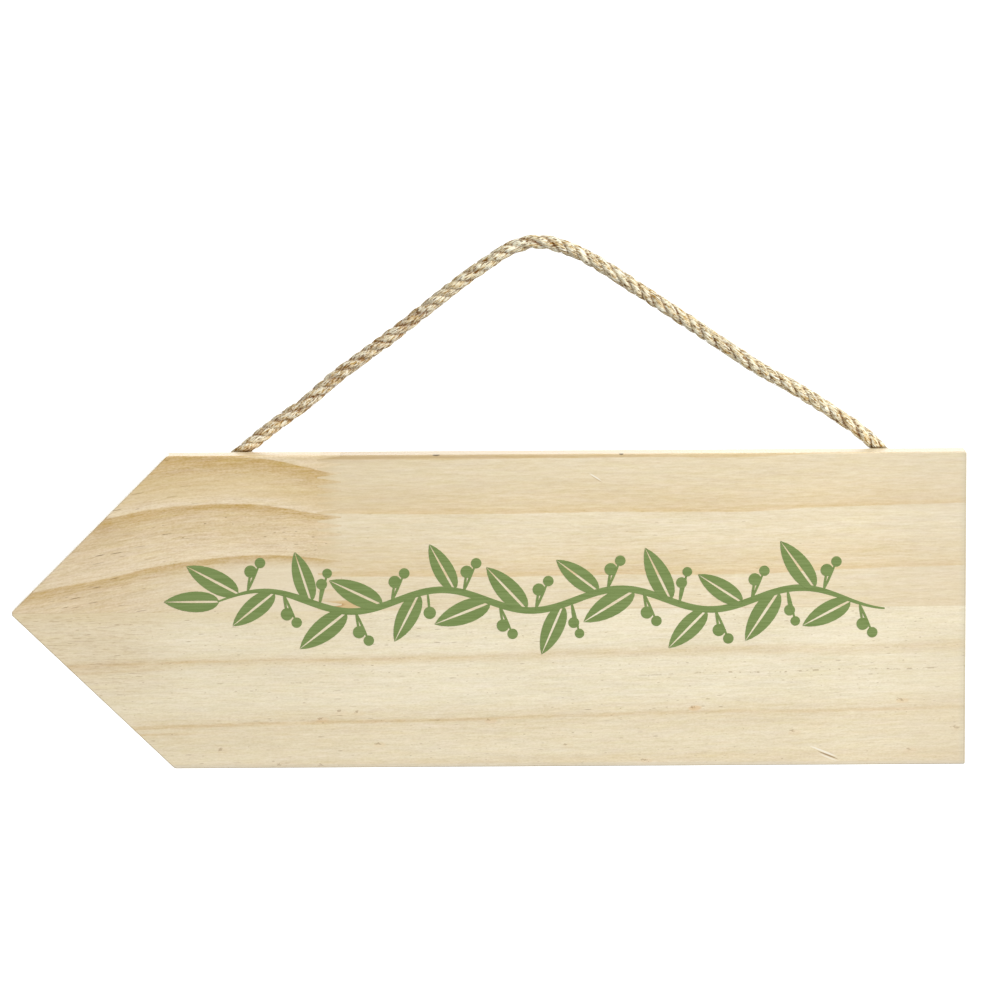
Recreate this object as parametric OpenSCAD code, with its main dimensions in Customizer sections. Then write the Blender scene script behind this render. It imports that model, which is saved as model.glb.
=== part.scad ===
// Hanging arrow sign. The board is glued up from three pieces of pine: a lower strip,
// and an upper strip that a finger-jointed block lengthens to the point. A rope is
// stapled to its back and carries it. Millimetres, +Z up, and the front faces -Y.
// The origin is where the rope bears on its hook, under the top of its loop.

/* [Board] */
// Length of the board from its point, before it is blunted, to its square end
board_l = 400; // [320:1:600]
// Height of the board
board_h = 132.5; // [110:0.5:200]
// Thickness of the board
board_t = 12; // [10:0.5:30]
// Length that the upper slant of the point takes off the top edge
upper_slant = 66.5; // [40:0.5:90]
// Length that the lower slant takes off the bottom edge
lower_slant = 68; // [40:0.5:90]
// Length that blunting takes off both sides of the point
point_cut = 1.1; // [0.5:0.1:4]
// Length that it takes off both sides of every other corner
corner_cut = 0.5; // [0.3:0.1:3]
// Width of the rounding that sanding leaves along the rim of both faces
rim_w = 0.5; // [0.2:0.1:1]
// Drop from the rope's bearing point to the top edge of the board
hang_drop = 84.5; // [82:0.5:88]
// Distance from the rope's bearing point to the point of the board
point_reach = 221; // [205:1:225]

/* [Glue line] */
// Depth of the long glue line below the top edge, at the point
seam_drop_point = 66.2; // [50:0.1:80]
// Depth of the long glue line below the top edge, at the square end
seam_drop_end = 65; // [50:0.1:80]

/* [Finger joint] */
// Distance from the point of the board to the roots of the block's fingers
block_l = 129; // [110:1:200]
// Length of a finger
finger_l = 10; // [6:0.5:20]
// Spacing of the fingers
finger_pitch = 3.7; // [3:0.1:8]
// Width of a finger's flat tip
finger_tip = 0.6; // [0.4:0.1:1]
// Depth of the block's first fingertip below the top edge
finger_start = 0.1; // [0:0.1:3]
// Room for glue between a fingertip and the bottom of its slot
tip_gap = 0.2; // [0.05:0.05:0.5]

/* [Rope] */
// Diameter of the rope
rope_d = 6; // [5:0.5:8]
// Clearance between the rope and the back of the board
rope_gap = 0.2; // [0.1:0.1:1]

/* [Staples] */
// Breadth of the staple's flat wire
wire_w = 1.25; // [0.8:0.05:2]
// Thickness of the staple's flat wire
wire_t = 0.7; // [0.5:0.05:0.9]
// Radius outside the bends of a staple
bend_r = 1.1; // [1:0.1:1.5]
// Room on each side between the rope and a staple's leg
leg_gap = 1.6; // [0.5:0.1:3]
// Clearance between the rope and the crown that holds it
crown_gap = 0.2; // [0.1:0.1:1]
// Depth of the legs in the wood
bite = 7; // [4:0.5:9]
// Clearance between a leg and its slit in the wood
slit_gap = 0.05; // [0.02:0.01:0.2]
// Distance from the rope's end to the nearer staple
end_margin = 8; // [5:0.5:10]
// Spacing of the two staples at a rope end
staple_pitch = 13; // [10:0.5:14]

/* [Hidden] */
rope_sides = 12;
arc_steps = 48;

// Radius of the rim's curve, and reach of the shape that cuts it, each as a multiple of rim_w
rim_curve = 1.2;
rim_reach = 1.1;

// Edges and faces of the board
left = -point_reach;
right = left + board_l;
top = -hang_drop;
bottom = top - board_h;
back = -rope_d / 2 - rope_gap;

// Ends of the glue line, and the overshoot of the shapes that part the board along it
seam_ends = [[left, top - seam_drop_point], [right, top - seam_drop_end]];
over = 5;

// The board's five corners before blunting, seen from the front, clockwise from its point
sharp = [
    seam_ends[0], [left + upper_slant, top], [right, top],
    [right, bottom], [left + lower_slant, bottom]
];

// The rope's middle line in X and Z, from the middle of the rope at the top of its loop.
// The ends lie behind the board, and the rope comes up over its top edge at the fourth
// point from each end.
route = [
    [-152, -112], [-142.5, -104], [-133.5, -96], [-124, -88], [-111, -77.5], [-97, -67.5],
    [-84, -56.5], [-70.5, -46.5], [-57, -36.5], [-43.5, -26], [-30, -15.5], [-17, -6.5],
    [-10, -2.5], [-3.5, -0.5], [0, 0], [7, -1], [17, -4.5], [27, -10], [40, -18.5],
    [53.5, -27.5], [67, -36.5], [80.5, -45.5], [94, -54.5], [107.5, -62], [121, -70.5],
    [134, -79.5], [142.5, -87], [150.5, -95.5], [159, -103.5], [167, -112]
];
last = len(route) - 1;
stub = 3;

// Inner and outer faces of a staple's legs and crown, measured from the rope's middle
leg_in = rope_d / 2 + leg_gap;
leg_out = leg_in + wire_t;
crown_in = rope_d / 2 + crown_gap;
crown_out = crown_in + wire_t;

// Unit vector from one point to another, and the direction of a vector from the X axis
function toward(p, q) = (q - p) / norm(q - p);
function heading(v) = atan2(v[1], v[0]);

// The board's outline, with every corner cut back along both of its sides
outline = [
    for (i = [0 : len(sharp) - 1])
        let (
            cut = i == 0 ? point_cut : corner_cut,
            before = sharp[(i + len(sharp) - 1) % len(sharp)],
            after = sharp[(i + 1) % len(sharp)]
        )
        each [sharp[i] + toward(sharp[i], before) * cut, sharp[i] + toward(sharp[i], after) * cut]
];

// A drawing of the front, raised to the board's thickness and stood up in its place
module from_front() {
    translate([0, back, 0])
        rotate([90, 0, 0])
            children();
}

// Section of what sanding takes off an edge, with the sharp edge at the origin. The curve
// that it leaves is a little flatter than a quarter circle, so it meets both faces at a
// slight angle, rim_w from the edge.
module edge_waste() {
    curve_r = rim_curve * rim_w;
    middle = (rim_w + sqrt(2 * curve_r ^ 2 - rim_w ^ 2)) / 2;
    reach = rim_reach * rim_w;
    difference() {
        translate([-reach, -reach])
            square(2 * reach);
        translate([-middle, -middle])
            circle(curve_r, $fn = arc_steps);
    }
}

// What sanding takes off the rim of the front face, in the drawing of the front
module rim_waste() {
    for (i = [0 : len(outline) - 1]) {
        p = outline[i];
        q = outline[(i + 1) % len(outline)];
        translate(p)
            rotate([0, 0, heading(q - p)])
                translate([-over, 0, 0])
                    rotate([90, 0, 90])
                        linear_extrude(norm(q - p) + 2 * over)
                            edge_waste();
    }
}

// The board's thickness of any part of its outline, with the rims of both faces sanded
module board_piece() {
    from_front()
        difference() {
            linear_extrude(board_t)
                intersection() {
                    polygon(outline);
                    children();
                }
            translate([0, 0, board_t])
                rim_waste();
            mirror([0, 0, 1])
                rim_waste();
        }
}

// The side of the board above its glue line
module above_seam() {
    slope = toward(seam_ends[0], seam_ends[1]);
    polygon([
        seam_ends[0] - slope * over, seam_ends[1] + slope * over,
        [right + over, top + over], [left - over, top + over]
    ]);
}

// Zigzag of the finger joint from the bottom up. The block's fingers point to +X.
// Each side of the joint has its own tips cut back by the gap for glue.
function zigzag(of_block) =
    let (
        spread = (finger_pitch / 2 - finger_tip) / finger_l * tip_gap,
        root = left + block_l + (of_block ? 0 : tip_gap),
        tip = left + block_l + finger_l - (of_block ? tip_gap : 0),
        root_half = finger_tip / 2 + (of_block ? 0 : spread),
        tip_half = finger_tip / 2 + (of_block ? spread : 0),
        count = ceil((board_h + over) / finger_pitch)
    )
    [
        for (k = [count : -1 : -1])
            let (z = top - finger_start - k * finger_pitch)
                each [
                    [root, z - finger_pitch / 2 + root_half], [tip, z - tip_half],
                    [tip, z + tip_half], [root, z + finger_pitch / 2 - root_half]
                ]
    ];

// The block's side of the finger joint, and the strip's side of it
module block_side() {
    line = zigzag(true);
    polygon(concat(line, [[left - over, line[len(line) - 1][1]], [left - over, line[0][1]]]));
}
module strip_side() {
    line = zigzag(false);
    polygon(concat(line, [[right + over, line[len(line) - 1][1]], [right + over, line[0][1]]]));
}

// Puts its children on the rope near one of its ends, with X across the rope, Y towards
// the rope's middle and Z to the back. place 0 is the staple nearer to the end.
module on_rope_end(at_left, place) {
    end = at_left ? route[0] : route[last];
    over_edge = at_left ? route[stub] : route[last - stub];
    spot = end + toward(end, over_edge) * (end_margin + place * staple_pitch);
    translate([spot[0], 0, spot[1] + rope_d / 2])
        rotate([90, 0, 0])
            rotate([0, 0, heading(over_edge - end) - 90])
                mirror([0, 0, 1])
                    children();
}

// One leg of a staple with its bend, from the side, up to the middle of the crown
module staple_half() {
    bend = [leg_out - bend_r, crown_out - bend_r];
    square_tip = back - bite + wire_t;
    polygon([[leg_in, square_tip], [leg_out, back - bite], [leg_out, bend[1]], [leg_in, bend[1]]]);
    translate([0, crown_in])
        square([bend[0], wire_t]);
    translate(bend)
        intersection() {
            difference() {
                circle(bend_r, $fn = arc_steps);
                circle(bend_r - wire_t, $fn = arc_steps);
            }
            square(bend_r);
        }
}

// A staple of flat wire across the rope, its legs in the wood
module staple(at_left, place) {
    color("silver")
        on_rope_end(at_left, place)
            rotate([90, 0, 0])
                linear_extrude(wire_w, center = true) {
                    staple_half();
                    mirror([1, 0])
                        staple_half();
                }
}

// The slits that a rope end's two staples make in the wood
module slits(at_left) {
    wide = wire_t + 2 * slit_gap;
    depth = bite + slit_gap;
    for (place = [0, 1])
        on_rope_end(at_left, place)
            for (side = [-1, 1])
                translate([side * (leg_in + leg_out) / 2, 0, back - depth / 2 + over / 2])
                    cube([wide, wire_w + 2 * slit_gap, depth + over], center = true);
}

// The block that carries the upper half of the point, with fingers at its square end
module point_block() {
    color("#e0c595")
        difference() {
            board_piece()
                intersection() {
                    above_seam();
                    block_side();
                }
            slits(true);
        }
}

// The upper strip, from the finger joint to the square end of the board
module upper_strip() {
    color("#e8d6ae")
        difference() {
            board_piece()
                intersection() {
                    above_seam();
                    strip_side();
                }
            slits(false);
        }
}

// The lower strip, one piece from the point to the square end
module lower_strip() {
    color("#ecdcb8")
        board_piece()
            difference() {
                polygon(outline);
                above_seam();
            }
}

// Direction of the rope at a point of its route, and one ring of points round it there
function along(i) = toward(route[max(i - 1, 0)], route[min(i + 1, last)]);
function ring(i) =
    let (across = [-along(i)[1], along(i)[0]], middle = route[i] + [0, rope_d / 2])
    [
        for (k = [0 : rope_sides - 1])
            let (a = 360 * k / rope_sides, c = middle + across * cos(a) * rope_d / 2)
                [c[0], sin(a) * rope_d / 2, c[1]]
    ];

// The rope, as a plain tube from end to end of its route
module hanging_rope() {
    wrap = [
        for (i = [0 : last - 1], k = [0 : rope_sides - 1])
            let (a = i * rope_sides, next = (k + 1) % rope_sides)
                [a + k, a + next, a + next + rope_sides, a + k + rope_sides]
    ];
    first_cap = [for (k = [rope_sides - 1 : -1 : 0]) k];
    last_cap = [for (k = [0 : rope_sides - 1]) last * rope_sides + k];
    color("#c8b083")
        polyhedron(
            points = [for (i = [0 : last]) each ring(i)],
            faces = concat([first_cap], wrap, [last_cap])
        );
}

point_block();
upper_strip();
lower_strip();
hanging_rope();
staple(true, 1);  // left_upper_staple
staple(true, 0);  // left_lower_staple
staple(false, 1);  // right_upper_staple
staple(false, 0);  // right_lower_staple
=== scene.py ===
import math
import random

import bpy
import numpy as np
from mathutils import Euler, Matrix, Vector


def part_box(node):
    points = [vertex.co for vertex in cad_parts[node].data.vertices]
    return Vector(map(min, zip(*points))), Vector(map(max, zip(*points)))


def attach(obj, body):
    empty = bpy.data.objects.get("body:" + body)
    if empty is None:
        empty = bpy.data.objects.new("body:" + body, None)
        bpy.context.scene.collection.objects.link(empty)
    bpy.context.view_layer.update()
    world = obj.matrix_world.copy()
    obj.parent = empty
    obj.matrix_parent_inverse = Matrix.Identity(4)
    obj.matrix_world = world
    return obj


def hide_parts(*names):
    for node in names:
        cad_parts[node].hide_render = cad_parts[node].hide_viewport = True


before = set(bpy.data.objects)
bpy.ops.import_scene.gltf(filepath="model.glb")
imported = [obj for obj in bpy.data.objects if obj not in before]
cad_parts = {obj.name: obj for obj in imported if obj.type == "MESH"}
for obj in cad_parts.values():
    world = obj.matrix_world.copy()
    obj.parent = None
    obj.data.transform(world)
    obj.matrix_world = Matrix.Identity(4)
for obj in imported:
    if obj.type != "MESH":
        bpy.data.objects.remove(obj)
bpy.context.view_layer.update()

mm = 0.001

# Camera. A long lens 2.5 m in front of the sign, a little above its middle and looking
# down at it, so that the top face of the board shows as a thin bright strip.
aim = Vector((-15.67, -9.2, -104.58)) * mm
stand_off = 2500 * mm
look_down = math.radians(8.41)
lean = math.radians(-0.338)

bpy.ops.object.select_all(action="DESELECT")
bpy.ops.object.camera_add(
    location=aim + stand_off * Vector((0, -math.cos(look_down), math.sin(look_down)))
)
camera = bpy.context.object
camera.name = "camera"
camera.data.sensor_width = 36
camera.data.lens = 215.16
camera.data.clip_end = 100
level = Euler((math.pi / 2 - look_down, 0, 0)).to_matrix()
camera.rotation_euler = (level @ Matrix.Rotation(lean, 3, "Z")).to_euler()
bpy.context.scene.camera = camera


# Hanging rope. Three-strand laid rope of bleached hemp, 6 mm thick and right-hand laid,
# drawn up to one peak where it hangs on its hook. Its cut ends lie behind the board.
rope_d = 6 * mm
lay_length = 19 * mm
strand_r = 1.68 * mm
lay_r = rope_d / 2 - strand_r
ring_pitch = 0.5 * mm
strand_sides = 26
yarns = 7
bundle_count = 950
# The rope's middle line in X and Z, in millimetres, from the middle of the rope at its peak
route = [
    (-152, -112), (-142.5, -104), (-133.5, -96), (-124, -88), (-111, -77.5), (-97, -67.5),
    (-84, -56.5), (-70.5, -46.5), (-57, -36.5), (-43.5, -26), (-30, -15.5), (-17, -6.5),
    (-10, -2.5), (-3.5, -0.5), (0, 0), (7, -1), (17, -4.5), (27, -10), (40, -18.5),
    (53.5, -27.5), (67, -36.5), (80.5, -45.5), (94, -54.5), (107.5, -62), (121, -70.5),
    (134, -79.5), (142.5, -87), (150.5, -95.5), (159, -103.5), (167, -112),
]
line = [(x * mm, 0, z * mm + rope_d / 2) for x, z in route]


def smooth_through(points, pitch):
    """A smooth curve through the points, as places about pitch apart."""
    knots = np.array(points)
    ends = np.vstack([2 * knots[0] - knots[1], knots, 2 * knots[-1] - knots[-2]])
    dense = []
    for a, b, c, d in zip(ends, ends[1:], ends[2:], ends[3:]):
        for t in np.linspace(0, 1, 24, endpoint=False):
            dense.append(
                b + (c - a) / 2 * t
                + (2 * a - 5 * b + 4 * c - d) / 2 * t ** 2
                + (3 * b - a - 3 * c + d) / 2 * t ** 3
            )
    dense = np.array(dense + [knots[-1]])
    run = np.append(0, np.cumsum(np.linalg.norm(np.diff(dense, axis=0), axis=1)))
    count = int(round(run[-1] / pitch)) + 1
    places = np.linspace(0, run[-1], count)
    return places, np.array([np.interp(places, run, dense[:, i]) for i in range(3)]).T


run, middle = smooth_through(line, ring_pitch)
rope_length = run[-1]
heading = np.gradient(middle, axis=0)
heading /= np.linalg.norm(heading, axis=1)[:, None]
across = np.array([[0.0, 1.0, 0.0]] * len(run))
aside = np.cross(across, heading)
unevenness = random.Random(7)


def wander(size, waves):
    """A slow irregular change along the rope, as a sum of waves of these lengths."""
    value = np.zeros(len(run))
    for wave in waves:
        value += np.sin(2 * math.pi * run / (wave * mm) + unevenness.uniform(0, 2 * math.pi))
    return size * value / len(waves)


turn = 2 * math.pi * run / lay_length + wander(1.0, (31, 53, 97))
end_flare = 1 + 0.12 * np.exp(-np.minimum(run, rope_length - run) / (3 * mm))


def around(angle, radius):
    """Points at an angle and a radius round the rope's middle line."""
    out = np.cos(angle)[:, None] * aside + np.sin(angle)[:, None] * across
    return middle + out * np.asarray(radius)[:, None], out


# Each strand is a closed tube round its own twisted line. Yarns and small bundles of fibre
# stand out on it.
corners, sheets, fibre_places, hollows = [], [], [], []
for strand in range(3):
    angle = turn + 2 * math.pi * strand / 3
    core, out = around(angle, lay_r * end_flare)
    along = np.gradient(core, axis=0)
    along /= np.linalg.norm(along, axis=1)[:, None]
    out -= (out * along).sum(axis=1)[:, None] * along
    out /= np.linalg.norm(out, axis=1)[:, None]
    side = np.cross(along, out)
    fullness = strand_r * (1 + wander(0.13, (7, 13, 29)))
    bundles = [
        (unevenness.uniform(0, 2 * math.pi), unevenness.uniform(0, rope_length / mm),
         unevenness.uniform(3, 9), unevenness.uniform(0.10, 0.22), unevenness.uniform(-1, 1))
        for _ in range(bundle_count)
    ]
    sides = 2 * math.pi * np.arange(strand_sides) / strand_sides
    twist = rope_d / 2 / strand_r * turn
    relief = 0.025 * np.cos(yarns * (sides[None, :] + twist[:, None]))
    for where, at, reach, wide, high in bundles:
        near = np.abs(run / mm - at) < reach
        along_part = np.cos((run[near] / mm - at) / reach * math.pi / 2) ** 2
        off = (sides[None, :] + twist[near][:, None] - where + math.pi) % (2 * math.pi) - math.pi
        relief[near] += 0.05 * high * along_part[:, None] * np.exp(-(off / wide) ** 2)
    first = len(corners)
    radius = fullness[:, None] * (1 + relief)
    skin = (
        core[:, None, :]
        + (radius * np.cos(sides))[:, :, None] * out[:, None, :]
        + (radius * np.sin(sides))[:, :, None] * side[:, None, :]
    )
    corners.extend(skin.reshape(-1, 3))
    for i, at in enumerate(run):
        for a in sides:
            fibre_places.append((
                at / mm,
                strand_r / mm * math.cos(a + twist[i]) + 9 * strand,
                strand_r / mm * math.sin(a + twist[i]),
            ))
            hollows.append((1 - math.cos(a)) / 2)
    for i in range(len(run) - 1):
        for j in range(strand_sides):
            a, b = first + i * strand_sides + j, first + i * strand_sides + (j + 1) % strand_sides
            sheets.append((a, b, b + strand_sides, a + strand_sides))
    for i, way in ((0, -1), (len(run) - 1, 1)):
        ring = [first + i * strand_sides + j for j in range(strand_sides)]
        tip = len(corners)
        corners.append(core[i] + way * along[i] * 0.5 * mm)
        fibre_places.append((run[i] / mm, 9 * strand, 0))
        hollows.append(0.6)
        for a, b in zip(ring, ring[1:] + ring[:1]):
            sheets.append((a, b, tip) if way > 0 else (b, a, tip))

# Loose fibres stand off the strands along the rope. None of them enters the board.
board_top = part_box("upper_strip")[1].z
board_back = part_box("upper_strip")[1].y
fibre_count = 1500
steps = 4
for hair in range(fibre_count):
    length = unevenness.uniform(3, 8) * mm
    start = unevenness.uniform(4 * mm, rope_length - 4 * mm)
    way = unevenness.choice((-1, 1))
    lift = (unevenness.uniform(0, 0.35) if hair % 12 else unevenness.uniform(0.5, 2.1)) * mm
    angle = unevenness.uniform(0, 2 * math.pi)
    drift = unevenness.uniform(-0.5, 0.5)
    thick = unevenness.uniform(0.04, 0.09) * mm
    tone = unevenness.uniform(0, 400)
    spots = []
    for k in range(steps):
        t = k / (steps - 1)
        at = min(max(start + way * length * t, 0), rope_length)
        i = min(int(round(at / rope_length * (len(run) - 1))), len(run) - 1)
        spin = angle + drift * t
        reach = rope_d / 2 * 0.94 + lift * t ** 1.7 + 0.12 * mm * math.sin(5 * t + angle)
        out = math.cos(spin) * aside[i] + math.sin(spin) * across[i]
        spots.append(middle[i] + (at - run[i]) * heading[i] + out * reach)
    if any(s[2] < board_top + 1 * mm and s[1] < board_back + 0.1 * mm for s in spots):
        continue
    first = len(corners)
    for k, spot in enumerate(spots):
        forward = spots[min(k + 1, steps - 1)] - spots[max(k - 1, 0)]
        forward = forward / np.linalg.norm(forward)
        one = np.cross(forward, (0.31, 0.88, 0.36))
        one /= np.linalg.norm(one)
        two = np.cross(forward, one)
        slim = thick * (1 - 0.75 * k / (steps - 1))
        for a in (0, 2 * math.pi / 3, 4 * math.pi / 3):
            corners.append(spot + slim * (math.cos(a) * one + math.sin(a) * two))
            fibre_places.append((tone + k, tone, 0))
            hollows.append(0.0)
    for k in range(steps - 1):
        for a in range(3):
            p, q = first + 3 * k + a, first + 3 * k + (a + 1) % 3
            sheets.append((p, q, q + 3, p + 3))
    sheets.append((first + 2, first + 1, first))
    sheets.append((len(corners) - 3, len(corners) - 2, len(corners) - 1))

rope_mesh = bpy.data.meshes.new("twisted_rope")
rope_mesh.from_pydata([tuple(c) for c in corners], [], sheets)
rope_mesh.shade_smooth()
fibre_lines = rope_mesh.attributes.new("fibre_lines", "FLOAT_VECTOR", "POINT")
fibre_lines.data.foreach_set("vector", np.array(fibre_places, np.float32).ravel())
hollow_shade = rope_mesh.attributes.new("hollow_shade", "FLOAT", "POINT")
hollow_shade.data.foreach_set("value", np.array(hollows, np.float32))
twisted_rope = bpy.data.objects.new("twisted_rope", rope_mesh)
bpy.context.scene.collection.objects.link(twisted_rope)


class Flow:
    """One number, vector or colour on its way through a material's nodes."""

    def __init__(self, tree, socket=None):
        self.tree = tree
        self.socket = socket

    def node(self, kind, settings, inputs, output=0):
        """Adds a node with its settings, then its sockets' values or links."""
        made = self.tree.nodes.new(kind)
        for name, value in settings.items():
            setattr(made, name, value)
        for name, value in inputs.items():
            if isinstance(value, Flow):
                self.tree.links.new(value.socket, made.inputs[name])
            else:
                made.inputs[name].default_value = value
        return Flow(self.tree, made.outputs[output])

    def math(self, operation, *values):
        return self.node("ShaderNodeMath", {"operation": operation}, dict(enumerate(values)))

    def __add__(self, other):
        return self.math("ADD", self, other)

    def __sub__(self, other):
        return self.math("SUBTRACT", self, other)

    def __rsub__(self, other):
        return self.math("SUBTRACT", other, self)

    def __mul__(self, other):
        return self.math("MULTIPLY", self, other)

    def __truediv__(self, other):
        return self.math("DIVIDE", self, other)

    def __abs__(self):
        return self.math("ABSOLUTE", self)

    __radd__ = __add__
    __rmul__ = __mul__

    def root(self):
        return self.math("SQRT", self)

    def sine(self):
        return self.math("SINE", self)

    def past_whole(self):
        """What is left over the next lower whole number."""
        return self.math("FRACT", self)

    def bell(self):
        """1 at zero, falling to 0 on both sides like a bell."""
        return self.math("EXPONENT", self * self * -1)

    def rise(self, low, high):
        """0 up to low and 1 from high, with a smooth step between them."""
        return self.node(
            "ShaderNodeMapRange", {"interpolation_type": "SMOOTHSTEP"}, {0: self, 1: low, 2: high}
        )

    def part(self, axis):
        """The X, Y or Z of a vector."""
        return self.node("ShaderNodeSeparateXYZ", {}, {0: self}, "XYZ".index(axis))

    def stretched(self, x, y, z, shift=0):
        """A vector divided by lengths along X, Y and Z, and shifted."""
        sized = self.node(
            "ShaderNodeVectorMath", {"operation": "DIVIDE"}, {0: self, 1: (x, y, z)}
        )
        moved = (0.37 * shift, 1.13 * shift, 2.71 * shift)
        return sized.node("ShaderNodeVectorMath", {"operation": "ADD"}, {0: sized, 1: moved})

    def place_in_mm(self):
        """The place on the piece, in millimetres."""
        return self.node("ShaderNodeTexCoord", {}, {}, 3).stretched(mm, mm, mm)

    def noise(self, detail=3, roughness=0.55):
        """Soft noise from 0 to 1, with features about as long as one unit of the vector."""
        return self.node(
            "ShaderNodeTexNoise", {},
            {"Vector": self, "Scale": 1, "Detail": detail, "Roughness": roughness},
        )

    def tinted(self, colour, amount):
        """A colour mixed with another by an amount from 0 to 1."""
        return self.node(
            "ShaderNodeMix", {"data_type": "RGBA"}, {0: amount, 6: self, 7: colour}, 2
        )

    def shaded(self, tone, amount):
        """A colour with an amount of another added to it, or taken off where it is below 0."""
        return self.node(
            "ShaderNodeVectorMath", {"operation": "MULTIPLY_ADD"}, {0: tone, 1: amount, 2: self}
        )


def seen(red, green, blue):
    """A tone as a screen shows it, from 0 to 255, as the colour that a shader needs."""
    parts = [value / 255 for value in (red, green, blue)]
    bent = [v / 12.92 if v <= 0.04045 else ((v + 0.055) / 1.055) ** 2.4 for v in parts]
    return (*bent, 1)


def new_finish(name):
    """A material with one Principled shader, and a flow to start its nodes from."""
    finish = bpy.data.materials.new(name)
    finish.use_nodes = True
    shader = finish.node_tree.nodes["Principled BSDF"]
    return finish, shader, Flow(finish.node_tree)


def feed(shader, name, flow):
    flow.tree.links.new(flow.socket, shader.inputs[name])


def mixed(start, amount, one, other):
    """A colour between two others."""
    return start.node("ShaderNodeMix", {"data_type": "RGBA"}, {0: amount, 6: one, 7: other}, 2)


def raised(flow, height, distance, strength=1.0):
    """A normal from a height between 0 and 1."""
    return flow.node(
        "ShaderNodeBump", {}, {"Strength": strength, "Distance": distance, "Height": height}
    )


hemp, shader, start = new_finish("bleached_hemp")
fibres = start.node("ShaderNodeAttribute", {"attribute_name": "fibre_lines"}, {}, 1)
hollow = start.node("ShaderNodeAttribute", {"attribute_name": "hollow_shade"}, {}, 2)
fine = fibres.stretched(1.8, 0.45, 0.45).noise(2, 0.6)
coarse = fibres.stretched(4.5, 0.9, 0.9, 3).noise(2, 0.6)
patches = fibres.stretched(12, 4, 4, 5).noise(2, 0.5)
husk = fibres.stretched(1.8, 0.6, 0.6, 9).noise(2, 0.5)
loose = fibres.stretched(5, 3, 3, 8).noise(1, 0.5)
speck = fibres.stretched(0.9, 0.5, 0.5, 15).noise(1, 0.5)
straw = mixed(start, fine.rise(0.39, 0.52), seen(164, 124, 50), seen(255, 252, 227))
straw = straw.tinted(seen(216, 184, 118), coarse.rise(0.53, 0.42) * 0.45)
straw = straw.tinted(seen(255, 253, 234), coarse.rise(0.55, 0.63) * 0.7)
straw = straw.tinted(seen(206, 172, 108), patches.rise(0.5, 0.66) * 0.3)
# The left leg is more golden and more speckled than the rest
place = start.place_in_mm()
left_leg = place.part("X").rise(-20, -70)
straw = straw.tinted(seen(214, 166, 84), left_leg * 0.15)
straw = straw.tinted(seen(112, 72, 12), speck.rise(0.57, 0.67) * (left_leg * 0.6 + 0.2))
straw = straw.tinted(seen(255, 252, 236), speck.rise(0.43, 0.33) * (left_leg * 0.6 + 0.2))
straw = straw.tinted(seen(104, 66, 8), husk.rise(0.57, 0.63) * 0.9)
# Painted shade darkens the hollows between the strands, in broken patches
painted_gap_shade = hollow.rise(0.14, 0.42) * (0.15 + loose.rise(0.4, 0.56) * 0.85)
straw = straw.tinted(seen(122, 72, 4), painted_gap_shade * (0.35 + husk.rise(0.42, 0.54) * 0.55))
# It also has rusty and pale patches
rust = fibres.stretched(5.5, 2.2, 2.2, 19).noise(1, 0.5)
deep = hollow.rise(0.02, 0.3) * 0.25 + 0.25
straw = straw.tinted(seen(158, 106, 40), rust.rise(0.51, 0.6) * left_leg * deep)
pale = rust.rise(0.49, 0.4) * fine.rise(0.46, 0.54)
straw = straw.tinted(seen(255, 249, 228), pale * left_leg * 0.65)
# Painted shade darkens the rope from the top edge of the board down, where it goes behind the board
painted_edge_shade = place.part("Z").rise(-83.4, -84.3)
straw = straw.tinted(seen(96, 70, 20), painted_edge_shade * (0.25 + loose.rise(0.42, 0.55) * 0.5))
feed(shader, "Base Color", straw)
shader.inputs["Roughness"].default_value = 0.75
shader.inputs["Specular IOR Level"].default_value = 0.05
feed(shader, "Normal", raised(start, fine * 0.6 + coarse * 0.4, 0.5 * mm, 1.0))
rope_mesh.materials.append(hemp)

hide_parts("hanging_rope")
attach(twisted_rope, "root")


# Staples. Four staples of zinc-coated flat wire, bent to a crown and two legs, two driven
# over each end of the rope into the back of the board.
zinc, shader, start = new_finish("zinc_coated_wire")
place = start.place_in_mm()
spangle = place.stretched(0.9, 0.9, 0.9).noise(3, 0.6)
drawn = place.stretched(0.06, 4, 0.06, 4).noise(2, 0.5)
wire = mixed(start, spangle.rise(0.35, 0.68), seen(168, 170, 174), seen(214, 215, 217))
feed(shader, "Base Color", wire)
shader.inputs["Metallic"].default_value = 1
feed(shader, "Roughness", 0.3 + spangle * 0.25)
feed(shader, "Normal", raised(start, drawn, 0.02 * mm, 0.6))
for name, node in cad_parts.items():
    if name.endswith("staple"):
        node.data.materials.clear()
        node.data.materials.append(zinc)


# Point block. A short block of flat-sawn pine that carries the upper half of the point. Its
# year rings show as tall arches, and its square end is cut into fingers and glued in place.
def spot(x, z, at, half_length, half_height, slant=0.0):
    """1 in the middle of a small oval, 0 outside it."""
    c, s = math.cos(slant), math.sin(slant)
    off_x, off_z = x - at[0], z - (top_edge - at[1])
    long_way = (off_x * c + off_z * s) / half_length
    short_way = (off_z * c - off_x * s) / half_height
    return (long_way * long_way + short_way * short_way).rise(1, 0.25)


def together(x, y, z):
    """A vector from its three parts."""
    return x.node("ShaderNodeCombineXYZ", {}, {0: x, 1: y, 2: z})


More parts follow.
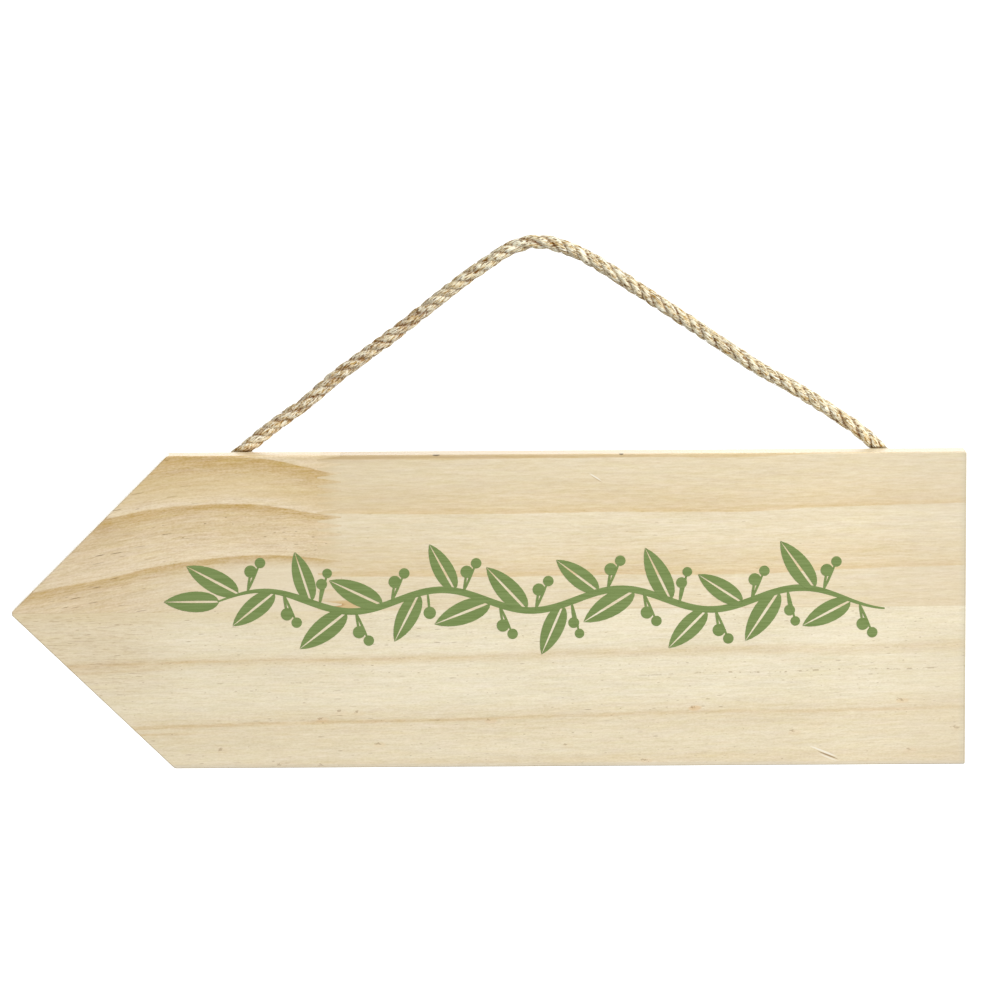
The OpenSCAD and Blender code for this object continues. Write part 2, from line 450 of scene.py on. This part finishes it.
def pine(name, rings, fibre_rise, grain_tone, contrast, dashes, marks):
    """A finish of bare sanded pine. From x, y and z in millimetres, rings gives how far a
    spot is into latewood with the two tones, fibre_rise how far the fibres climb, and
    contrast how strongly short, middling and long streaks of grain show."""
    finish, shader, start = new_finish(name)
    place = start.place_in_mm()
    x, y, z = (place.part(axis) for axis in "XYZ")
    late, pale, dark = rings(x, y, z)
    fibre = z - fibre_rise(x, z)
    grain = together(x, y, fibre)
    short = grain.stretched(1.2, 0.6, 0.5, 1).noise(2, 0.6)
    middling = grain.stretched(6, 0.8, 0.6, 2).noise(3, 0.65)
    long = grain.stretched(34, 2, 1.3, 3).noise(3, 0.6)
    clouds = grain.stretched(60, 12, 12, 4).noise(2, 0.5)
    streaks = short * contrast[0] + middling * contrast[1] + long * contrast[2] + clouds * 0.12
    wood = mixed(start, late, pale, dark)
    wood = wood.shaded(grain_tone, streaks - 0.5 * (sum(contrast) + 0.12))
    # Some streaks are a little yellower, and some a little pinker, than the rest
    yellow = grain.stretched(20, 4, 2.2, 21).noise(3, 0.65)
    pink = grain.stretched(14, 4, 2, 22).noise(3, 0.65)
    wood = wood.shaded((0.3, 0.05, -0.8), (yellow - 0.5) * 0.13)
    wood = wood.shaded((0.1, -0.35, 0.1), (pink - 0.5) * 0.12)
    # Resin canals, cut lengthwise by the face, show as short dark dashes
    for length, height, gap_x, gap_z, share, strength, shift, where in dashes:
        spread = grain.stretched(gap_x, gap_z, gap_z, shift)
        cell = spread.node("ShaderNodeTexVoronoi", {}, {"Vector": spread, "Scale": 1}, 1)
        centre = spread.node("ShaderNodeTexVoronoi", {}, {"Vector": spread, "Scale": 1}, 2)
        off = centre.node("ShaderNodeVectorMath", {"operation": "SUBTRACT"}, {0: spread, 1: centre})
        long_way = off.part("X") * (2 * gap_x / length) / (cell.part("Y") + 0.35)
        short_way = off.part("Z") * (2 * gap_z / height)
        dash = (long_way * long_way + short_way * short_way).rise(1, 0.2)
        chosen = cell.part("X").rise(share, share - 0.02) * (cell.part("Z") * 0.7 + 0.3)
        crowd = grain.stretched(40, 9, 9, shift + 3).noise(1, 0.5).rise(0.40, 0.58)
        amount = dash * chosen * crowd * where(x, z) * strength
        wood = wood.tinted(seen(122, 88, 46), amount)
    wood = marks(wood, x, y, z)
    feed(shader, "Base Color", wood)
    feed(shader, "Roughness", 0.30 + middling * 0.16)
    shader.inputs["Specular IOR Level"].default_value = 0.5
    feed(shader, "Normal", raised(start, middling * 0.6 + long * 0.4, 0.04 * mm, 0.5))
    return finish


def finish_node(name, finish):
    """Gives a CAD node its material."""
    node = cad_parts[name]
    node.data.materials.clear()
    node.data.materials.append(finish)


board_low, board_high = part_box("upper_strip")
top_edge = board_high.z / mm
front_face = board_low.y / mm
# The long seam below the top edge, and the line of the sawn slant up from the seam
seam_drop = 66.2
slant_start = -221
slant_run = 66.5


def arch_height(x, z):
    """How much lower the arches are at a spot than at their crowns."""
    crown = 9.66
    off_crown = x + 128 + 0.6 * (z + 105)
    arm = (off_crown * off_crown * 0.0625 + crown ** 2).root()
    droop = x.rise(-125, -86) * z.rise(-126, -108) * 1.5
    shoulder = ((x + 108) / 14).bell() * z.rise(-104, -93) * 1.2
    shoulder = shoulder + ((x + 164) / 16).bell() * 0.9
    return arm - crown + droop - shoulder - x.rise(-160, -225) * 3.5


def ragged(x, y, z, size):
    """A small uneven shift of the year rings, in millimetres."""
    spread = together(x, y, z)
    slow = spread.stretched(26, 9, 7, 11).noise(1, 0.5) - 0.5
    quick = spread.stretched(5, 2, 1.2, 12).noise(2, 0.6) - 0.5
    return (slow * 3 + quick * 1.6) * size


def block_rings(x, y, z):
    down = -84.7 - z + ragged(x, y, z, 0.35) - arch_height(x, z) + (y - front_face) * 6
    ring = down * 0.05207 - down * down * 0.0001035
    below = ring.past_whole()
    band = (below / (0.15 + down.rise(19, 3) * 0.12 + x.rise(-150, -180) * 0.04)).bell()
    slow = below.rise(1.0, 0.3) * (0.10 + down.rise(50, 36) * 0.16 + down.rise(34, 14) * 0.24)
    joint_side = x.rise(-72, -94)
    late = band * 0.71 + slow * joint_side + below.rise(0.972, 1) * 0.9
    return late, seen(234, 214, 178), seen(208, 178, 123)


def block_marks(wood, x, y, z):
    # Painted shade makes the block a little darker and greyer towards the point
    wood = wood.tinted(seen(198, 174, 146), x.rise(-160, -186) * 0.10)
    arched = z + arch_height(x, z)
    foot = arched.rise(-126, -133) * x.rise(-178, -150)
    wood = wood.tinted(seen(238, 226, 198), foot * (0.3 + x.rise(-150, -110) * 0.35))
    wood = wood.tinted(seen(220, 194, 134), arched.rise(-103, -100) * arched.rise(-90, -94) * 0.3)
    glue = abs(z - (top_edge - seam_drop)).rise(0.5, 0.1)
    wood = wood.tinted(seen(190, 166, 124), glue * 0.3)
    wood = wood.tinted(seen(206, 178, 128), x.rise(-100, -90) * 0.10)
    # The block's fingers fade to the tone of the strip that they are glued into
    wood = wood.tinted(seen(230, 212, 176), x.rise(-91, -83) * 0.5)
    # The strip's dark top line begins on the block's top finger
    above_flank = (z - top_edge + (x + 91.8) * 0.2).rise(-0.15, 0.25)
    wood = wood.tinted(seen(200, 176, 132), above_flank * x.rise(-92, -89) * 0.45)
    # Painted light makes the sawn slant nearly white, as if lit from above, and painted shade greys
    # the back rim of the top edge
    from_slant = (x - slant_start) * seam_drop - (z - top_edge + seam_drop) * slant_run
    from_slant = from_slant / math.hypot(slant_run, seam_drop)
    painted_slant_light = from_slant.rise(0.55, 0.25) * (y - front_face).rise(0.25, 0.8)
    wood = wood.tinted(seen(255, 252, 240), painted_slant_light * 0.85)
    painted_back_rim_shade = (z - top_edge).rise(-0.7, -0.4) * (y - front_face).rise(8.5, 10.5)
    return wood.tinted(seen(196, 184, 156), painted_back_rim_shade * x.rise(-118, -136) * 0.45)


# In the block the dashes are long and slanted towards the point, and short elsewhere
block_pine = pine(
    "flat_sawn_pine", block_rings,
    lambda x, z: (x + 145 - ((x + 145) * (x + 145) + 300).root()) * 0.1,
    (0.97, 1.0, 0.98), (0.31, 0.38, 0.26),
    [
        (1.7, 0.42, 4.2, 2.2, 0.36, 0.75, 1,
         lambda x, z: x.rise(-176, -150) * (0.15 + z.rise(-104, -112) * 0.85)),
        (5.2, 0.42, 10, 2.6, 0.5, 0.9, 2, lambda x, z: x.rise(-132, -160)),
    ],
    block_marks,
)
finish_node("point_block", block_pine)


# Upper strip. Pine with straight grain, from the finger joint to the square end. Its rings
# darken downwards and end in a sharp line.
def upper_rings(x, y, z):
    wavy = (x * 0.05).sine() * 0.3 + ragged(x, y, z, 0.35)
    climb = x.rise(60, 190) * 4.2 - x.rise(118, 175) * 1.0 - 0.4
    drop = top_edge - z + climb + wavy - (y - front_face) * 6
    ring = drop * 0.04654 - drop * drop * 0.000116 - 0.0787
    within = ring.past_whole()
    late = (within.rise(0.2, 1) * 0.6 + within.rise(0.86, 0.97) * 0.38) * within.rise(1, 0.98)
    return late, seen(236, 221, 188), seen(228, 204, 159)


def grey_end_and_shaded_rim(wood, x, y):
    """Greys the last millimetres of the front at the square end, and darkens its rounded rim most of
    all with painted shade.
    """
    front = (y - front_face).rise(1.1, 0.6)
    wood = wood.tinted(seen(196, 192, 172), x.rise(175.6, 178.2) * front * 0.25)
    return wood.tinted(seen(160, 150, 122), x.rise(178.1, 178.6) * front * 0.38)


def upper_marks(wood, x, y, z):
    drop = top_edge - z
    wood = wood.tinted(seen(178, 148, 102), drop.rise(1.9, 1.1) * x.rise(110, -60) * 0.52)
    wood = wood.tinted(seen(208, 184, 142), drop.rise(26, 22) * 0.14)
    wood = wood.tinted(seen(208, 184, 150), x.rise(110, 165) * drop.rise(44, 50) * 0.2)
    wood = wood.tinted(seen(214, 176, 108), spot(x, z, (-82, 63.2), 16, 2.4, 0.04) * 0.7)
    wood = wood.tinted(seen(176, 118, 50), spot(x, z, (-86, 63.5), 6, 1.3, 0.1) * 0.7)
    front = (y - front_face).rise(1.2, 0.7)
    scratch_and_shadow = spot(x, z, (24.2, 9.8), 3.6, 0.35, -0.57) * front
    wood = wood.tinted(seen(252, 246, 232), scratch_and_shadow * 0.7)
    # The darker line just under the pale scratch is its painted shadow
    scratch_and_shadow = spot(x, z, (24.6, 10.6), 3.4, 0.3, -0.57) * front
    wood = wood.tinted(seen(200, 176, 136), scratch_and_shadow * 0.6)
    for at_x, half in ((-42.2, 1.9), (35, 1.1)):
        nick = spot(x, z, (at_x, 0.1), half, 0.55) * front
        wood = wood.tinted(seen(84, 66, 44), nick * 0.8)
    glue = drop.rise(64.9, 65.2)
    wood = wood.tinted(seen(196, 172, 132), glue * x.rise(-60, 170) * 0.8)
    # The strip is darker beside the finger joint, most of all along its top edge
    wood = wood.tinted(seen(218, 194, 148), x.rise(-82, -90) * 0.38)
    wood = wood.tinted(seen(208, 188, 148), x.rise(-10, -78) * 0.15)
    wood = wood.tinted(seen(190, 160, 112), x.rise(-45, -88) * drop.rise(6.5, 1.5) * 0.28)
    wood = wood.tinted(seen(205, 195, 178), x.rise(125, 176) * (0.21 - drop.rise(44, 56) * 0.15))
    return grey_end_and_shaded_rim(wood, x, y)


upper_pine = pine(
    "straight_grained_pine", upper_rings,
    lambda x, z: x * 0.004,
    (0.95, 1.0, 1.02), (0.16, 0.33, 0.17),
    [(2.4, 0.42, 6, 2.8, 0.2, 0.3, 5, lambda x, z: z.rise(-105, -110))],
    upper_marks,
)
finish_node("upper_strip", upper_pine)


# Lower strip. Paler pine in one length from the point to the square end, with dark resin
# canals in rows and a few pin knots.
def lower_rings(x, y, z):
    wavy = (x * 0.035).sine() * 0.4
    patchy = together(x, y, z).stretched(16, 9, 4, 13)
    patchy = patchy.noise(2, 0.6).rise(0.3, 0.62)
    drop = top_edge - z + x * 0.02 + wavy - (y - front_face) * 6 + ragged(x, y, z, 0.45)
    first = drop.rise(81.5, 84.6) * drop.rise(88.5, 85) * 0.5
    first_line = abs(drop - 84.7).rise(0.9, 0.1) * x.rise(60, -120) * patchy * 0.5
    first_line = first_line + abs(drop - 87.6).rise(0.9, 0.1) * x.rise(-140, -165) * 0.4
    drop = drop - x.rise(-105, -140) * 0.8
    second = drop.rise(102, 110.4) * 0.38
    second_line = abs(drop - 111.2).rise(1.2, 0.1) * (0.3 + patchy * (0.2 + x.rise(40, -120) * 0.4))
    second_line = second_line + abs(drop - 114.2).rise(0.8, 0.1) * x.rise(-138, -150) * 0.5
    last = drop.rise(126.5, 129.5) * 0.25 - drop.rise(112, 122) * 0.15
    return first + first_line + second + second_line + last, seen(240, 228, 198), seen(224, 202, 162)


# Each pin knot with its place, half length and warmth
pins = [
    (-91.7, 111.4, 1.0, 0.3), (-83.6, 108.3, 0.9, 0.1), (-76.3, 108.6, 1.3, 0.1),
    (-67.8, 122.3, 1.2, 0.2), (-133.6, 124.4, 1.1, 0.1), (-21.0, 112.3, 1.0, 0.3),
    (11.2, 123.1, 0.8, 0.1), (44.2, 129.8, 1.2, 0.2), (64.6, 107.3, 0.8, 0.6),
    (106.4, 118.0, 1.5, 0.2), (151.6, 104.6, 1.6, 0.3), (154.9, 125.8, 1.2, 0.1),
    (-109.4, 131.0, 1.2, 0.1), (-91.7, 131.2, 1.2, 0.1), (174.8, 116.6, 1.8, 0.1),
]


def lower_marks(wood, x, y, z):
    drop = top_edge - z
    tip = x.rise(-140, -182) * drop.rise(112, 90)
    wood = wood.tinted(seen(206, 172, 120), tip * 0.20)
    streaky = together(x, y, z).stretched(6, 0.8, 0.55, 14)
    wood = wood.tinted(seen(150, 110, 58), streaky.noise(3, 0.65).rise(0.48, 0.74) * tip * 0.36)
    wood = wood.tinted(seen(222, 200, 148), drop.rise(73, 67) * x.rise(-74, -90) * 0.3)
    wood = wood.tinted(seen(224, 198, 150), x.rise(-30, -100) * 0.08)
    spread = together(x, y, z).stretched(1.3, 1.3, 0.8)
    ragged_x = x + (spread.noise(2, 0.6) - 0.5) * 4
    ragged_z = z + (spread.stretched(1, 1, 1, 7).noise(2, 0.6) - 0.5) * 2.4
    for at_x, at_drop, half, warmth in pins:
        warm = spot(x, z, (at_x + 1.0, at_drop + 0.6), 3.6, 1.4, 0.08).rise(0, 1.6)
        wood = wood.tinted(seen(224, 178, 118), warm * warmth)
        core = spot(ragged_x, ragged_z, (at_x, at_drop), half, 0.6, -0.3)
        wood = wood.tinted(seen(136, 102, 60), core * 0.42)
    front = (y - front_face).rise(1.2, 0.7)
    scratch_and_shadow = spot(x, z, (119.4, 126.6), 7.4, 0.45, -0.385) * front
    wood = wood.tinted(seen(253, 246, 230), scratch_and_shadow * 0.8)
    scratch_and_shadow = spot(x, z, (121.6, 129.3), 4.6, 0.35, -0.385) * front
    wood = wood.tinted(seen(253, 246, 230), scratch_and_shadow * 0.6)
    # The darker line under the first pale stroke is the scratch's painted shadow
    scratch_and_shadow = spot(x, z, (121.4, 128.3), 5.4, 0.36, -0.385) * front
    wood = wood.tinted(seen(138, 104, 62), scratch_and_shadow * 0.75)
    row = drop + x * 0.02 - 94.4 + (x * 0.11).sine() * 0.3
    dots = together(x * 0.3, 0.5, z * 0.4).noise(2, 0.7)
    stretch = together(x * 0.02, 4.5, 0).noise(0, 0.5)
    dotted = abs(row).rise(0.5, 0.12) * dots.rise(0.52, 0.62) * stretch.rise(0.44, 0.56)
    wood = wood.tinted(seen(150, 122, 80), dotted * 0.5)
    wood = wood.tinted(seen(205, 187, 155), x.rise(132, 177) * (0.04 + drop.rise(70, 84) * 0.18))
    wood = wood.tinted(seen(214, 206, 190), drop.rise(130.4, 131.4) * front * 0.35)
    return grey_end_and_shaded_rim(wood, x, y)


lower_pine = pine(
    "pale_pine", lower_rings,
    lambda x, z: x * 0.02,
    (1.0, 1.0, 1.0), (0.24, 0.27, 0.15),
    [
        (2.8, 0.42, 7, 3.0, 0.34, 0.50, 6, lambda x, z: 1.0),
        (1.3, 0.42, 4, 2.6, 0.3, 0.40, 7, lambda x, z: 1.0),
        (4.4, 0.42, 9, 1.9, 0.6, 0.60, 8, lambda x, z: x.rise(-150, -172) * z.rise(-188, -172)),
    ],
    lower_marks,
)
finish_node("lower_strip", lower_pine)


# Glue in the finger joint. A bead of dried wood glue fills the small room in front of each
# fingertip, from face to face of the board, and was sanded almost flush with them.
finger_pitch = 3.7
finger_count = 18
glue_w = 0.2
tip_h, slot_h = 0.65, 0.6
sunk = 0.03
shrunk = 0.05
first_tip_drop = 0.1
board_t = (board_high.y - board_low.y) / mm
tips_of_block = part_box("point_block")[1].x / mm
tips_of_strip = board_low.x / mm


def select_faces(piece, wanted):
    """Goes into edit mode with only the wanted faces selected."""
    bpy.ops.object.mode_set(mode="EDIT")
    bpy.ops.mesh.select_mode(type="FACE")
    bpy.ops.mesh.select_all(action="DESELECT")
    bpy.ops.object.mode_set(mode="OBJECT")
    for face in piece.data.polygons:
        face.select = wanted(face)
    bpy.ops.object.mode_set(mode="EDIT")


bpy.ops.object.select_all(action="DESELECT")
bpy.ops.mesh.primitive_cube_add(size=mm, location=(0, 0, 0))
bead = bpy.context.object
bead.scale = (glue_w, board_t - 2 * sunk, tip_h)
bpy.ops.object.transform_apply()
select_faces(bead, lambda face: face.normal.x > 0.5)
bpy.ops.transform.resize(value=(1, 1, slot_h / tip_h))
bpy.ops.object.mode_set(mode="OBJECT")
select_faces(bead, lambda face: abs(face.normal.y) > 0.5)
bpy.ops.mesh.inset(thickness=shrunk * mm, use_individual=True)
bpy.ops.transform.resize(value=(1, 1 - 2 * shrunk / board_t, 1))
bpy.ops.object.mode_set(mode="OBJECT")

beads = []
middle_y = (board_low.y + board_high.y) / 2
first_slot_drop = first_tip_drop + finger_pitch / 2
rows = ((tips_of_block, 1, first_tip_drop), (tips_of_strip, -1, first_slot_drop))
for edge, way, first_drop in rows:
    for k in range(finger_count):
        copy = bpy.data.objects.new("bead", bead.data.copy())
        bpy.context.scene.collection.objects.link(copy)
        # The first bead lies in the rounded rim of the top edge, so it is lower and shorter
        at_rim = way > 0 and k == 0
        low = first_drop + k * finger_pitch + (0.15 if at_rim else 0)
        place = Vector(((edge + way * glue_w / 2) * mm, middle_y, (top_edge - low) * mm))
        fit = Matrix.Diagonal((1, 1 - 1 / board_t, 0.5, 1)) if at_rim else Matrix.Identity(4)
        turned = Matrix.Rotation(0 if way > 0 else math.pi, 4, "Z")
        copy.data.transform(Matrix.Translation(place) @ turned @ fit)
        beads.append(copy)
bpy.data.objects.remove(bead)
bpy.ops.object.select_all(action="DESELECT")
for copy in beads:
    copy.select_set(True)
bpy.context.view_layer.objects.active = beads[0]
bpy.ops.object.join()
joint_glue = bpy.context.object
joint_glue.name = "joint_glue"
joint_glue.data.name = "joint_glue"

glue, shader, start = new_finish("dried_wood_glue")
place = start.place_in_mm()
cloudy = place.stretched(2, 2, 1.5).noise(2, 0.5)
feed(shader, "Base Color", mixed(start, cloudy, seen(214, 192, 150), seen(228, 210, 174)))
shader.inputs["Roughness"].default_value = 0.45
joint_glue.data.materials.clear()
joint_glue.data.materials.append(glue)
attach(joint_glue, "root")


# Printed garland. A leafy frieze in flat green ink, printed on the front of the board: a
# wavy stem with leaves in two halves and small berries.
ink_t = 0.1 * mm
overprint = 0.008 * mm
frieze_left, frieze_right = -134 * mm, 145 * mm
frieze_z = -146 * mm
wave_length = 75 * mm
wave_height = 4.5 * mm
stem_w = 2.8 * mm


def wave(x):
    """Height of the stem over the middle of the frieze, and its slope."""
    phase = 2 * math.pi * (x - frieze_left) / wave_length
    rise = wave_height * math.sin(phase)
    return rise, wave_height * 2 * math.pi / wave_length * math.cos(phase)


def flat_shape(name, strokes, thickness):
    """A flat closed outline of Bezier strokes, as a mesh of that thickness."""
    bpy.ops.object.select_all(action="DESELECT")
    bpy.ops.curve.primitive_bezier_curve_add(location=(0, 0, 0))
    drawn = bpy.context.object
    drawn.name = name
    drawn.data.dimensions = "2D"
    drawn.data.fill_mode = "BOTH"
    drawn.data.extrude = thickness / 2
    drawn.data.resolution_u = 10
    drawn.data.splines.clear()
    for stroke in strokes:
        spline = drawn.data.splines.new("BEZIER")
        spline.bezier_points.add(len(stroke) - 1)
        spline.use_cyclic_u = True
        for point, (place, before, after) in zip(spline.bezier_points, stroke):
            point.co = (*place, 0)
            point.handle_left = (*before, 0)
            point.handle_right = (*after, 0)
    bpy.ops.object.convert(target="MESH")
    return bpy.context.object


leaf_half = 0.34
vein = 0.02
leaf_shape = flat_shape(
    "leaf",
    [
        [
            ((0.02, side * vein), (0.3, side * vein * 2.2), (0.10, side * leaf_half)),
            ((1, side * 0.004), (0.70, side * leaf_half), (0.72, side * vein * 1.2)),
        ]
        for side in (1, -1)
    ],
    ink_t,
)
round_handle = 0.5523
berry_shape = flat_shape(
    "berry",
    [
        [
            ((c, s), (c + s * round_handle, s - c * round_handle),
             (c - s * round_handle, s + c * round_handle))
            for c, s in ((1, 0), (0, 1), (-1, 0), (0, -1))
        ]
    ],
    ink_t,
)

printed = []


def stamp(shape, at, length, width, turned):
    """Prints a copy of a shape at a place of the frieze, a hair proud of its neighbours."""
    copy = bpy.data.objects.new("print", shape.data.copy())
    bpy.context.scene.collection.objects.link(copy)
    proud = (1 + len(printed) % 9) * overprint
    place = Matrix.Translation((at[0], -proud, at[1])) @ Matrix.Rotation(-turned, 4, "Y")
    copy.data.transform(
        place @ Matrix.Rotation(math.pi / 2, 4, "X") @ Matrix.Diagonal((length, width, 1, 1))
    )
    printed.append(copy)
    return copy


bpy.ops.object.select_all(action="DESELECT")
bpy.ops.mesh.primitive_grid_add(x_subdivisions=160, y_subdivisions=1, size=2)
stem = bpy.context.object
stem.name = "stem"
for corner in stem.data.vertices:
    share = (corner.co.x + 1) / 2
    x = frieze_left + (frieze_right - frieze_left) * share
    rise, slope = wave(x)
    half = stem_w / 2 * min(1, 0.25 + 6 * share, 0.25 + 6 * (1 - share)) * corner.co.y
    normal = Vector((-slope, 1)).normalized()
    corner.co = (x + normal.x * half, 0, frieze_z + rise + normal.y * half)
inked = stem.modifiers.new("inked", "SOLIDIFY")
inked.thickness = ink_t
inked.offset = 0
bpy.ops.object.modifier_apply(modifier="inked")
printed.append(stem)

# Berries on each sprig: how far ahead of its foot, how far out, and their radius. Where the
# wide pair would touch a leaf, the sprig is narrower or has only one berry.
wide_pair = ((1.4, 8.8, 2.6), (5.4, 12.4, 2.2))
narrow_pair = ((0.9, 9.0, 2.3), (3.3, 13.6, 2.0))
other_sprigs = {
    2: narrow_pair, 5: ((0.9, 9.2, 2.6),), 9: narrow_pair, 12: narrow_pair, 15: narrow_pair,
}
leaf_count = 18
leaf_pitch = (frieze_right - frieze_left - 8 * mm) / leaf_count
for i in range(leaf_count):
    x = frieze_left + 9 * mm + i * leaf_pitch
    rise, slope = wave(x)
    up = 1 if i % 2 == 0 else -1
    lean_out = math.radians((44, 48, 52, 42)[i % 4])
    size = (25, 23, 22.5, 25.5)[i % 4] * mm
    direction = math.pi + math.atan(slope) - up * lean_out
    stamp(leaf_shape, (x, frieze_z + rise), size, size * 0.74, direction)
    foot = Vector((x + 3.5 * mm, frieze_z + wave(x + 3.5 * mm)[0]))
    for ahead, out, r in other_sprigs.get(i, wide_pair):
        berry = foot + Vector((ahead, up * out)) * mm
        stamp(berry_shape, berry, r * mm, r * mm, 0)
        stalk = berry - foot
        stamp(
            berry_shape, foot + stalk / 2, stalk.length / 2, 0.52 * mm,
            math.atan2(stalk.y, stalk.x),
        )
stamp(leaf_shape, (frieze_left + 1 * mm, frieze_z), 23.5 * mm, 17 * mm, math.pi)

bpy.ops.object.select_all(action="DESELECT")
for piece in printed:
    piece.select_set(True)
bpy.context.view_layer.objects.active = stem
bpy.ops.object.join()
garland = bpy.context.object
garland.name = "printed_garland"
garland.data.name = "printed_garland"
for shape in (leaf_shape, berry_shape):
    bpy.data.objects.remove(shape)

ink, shader, start = new_finish("green_ink")
place = start.place_in_mm()
strokes = place.stretched(14, 1, 0.5).noise(3, 0.6)
green = mixed(start, strokes.rise(0.3, 0.7), seen(113, 134, 68), seen(129, 149, 86))
feed(shader, "Base Color", green)
shader.inputs["Roughness"].default_value = 0.6
garland.data.materials.clear()
garland.data.materials.append(ink)
for face in garland.data.polygons:
    face.material_index = 0
garland.data.transform(Matrix.Translation((0, front_face * mm, 0)))
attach(garland, "root")


# Studio. A pale floor far below, a white room and one soft light high on the right. A larger
# light behind the sign, which the camera doesn't see, stands for a lit wall.
floor_z = -0.7
bpy.ops.object.select_all(action="DESELECT")
bpy.ops.mesh.primitive_plane_add(size=80, location=(0, 0, floor_z))
floor = bpy.context.object
floor.name = "floor"
floor.visible_diffuse = False
floor.visible_glossy = False
floor.visible_shadow = False
pale, shader, start = new_finish("pale_floor")
shader.inputs["Base Color"].default_value = (0.9, 0.9, 0.9, 1)
shader.inputs["Emission Color"].default_value = (1, 1, 1, 1)
shader.inputs["Emission Strength"].default_value = 0.8
floor.data.materials.append(pale)

room = bpy.data.worlds.new("room")
room.use_nodes = True
room.node_tree.nodes["Background"].inputs[0].default_value = (1, 1, 1, 1)
room.node_tree.nodes["Background"].inputs[1].default_value = 0.58
bpy.context.scene.world = room

key_from = Vector((1.29, -1.08, 1.08))
bpy.ops.object.light_add(type="AREA", location=aim + key_from)
key = bpy.context.object
key.name = "key_light"
key.data.size = 0.6
key.data.energy = 31
key.rotation_euler = (-key_from).to_track_quat("-Z", "Y").to_euler()
wall_from = Vector((0, 1.5, 0.4))
bpy.ops.object.light_add(type="AREA", location=aim + wall_from)
wall = bpy.context.object
wall.name = "lit_wall"
wall.data.size = 2.5
wall.data.energy = 24
wall.visible_camera = False
wall.rotation_euler = (-wall_from).to_track_quat("-Z", "Y").to_euler()
bpy.context.scene.view_settings.view_transform = "Standard"
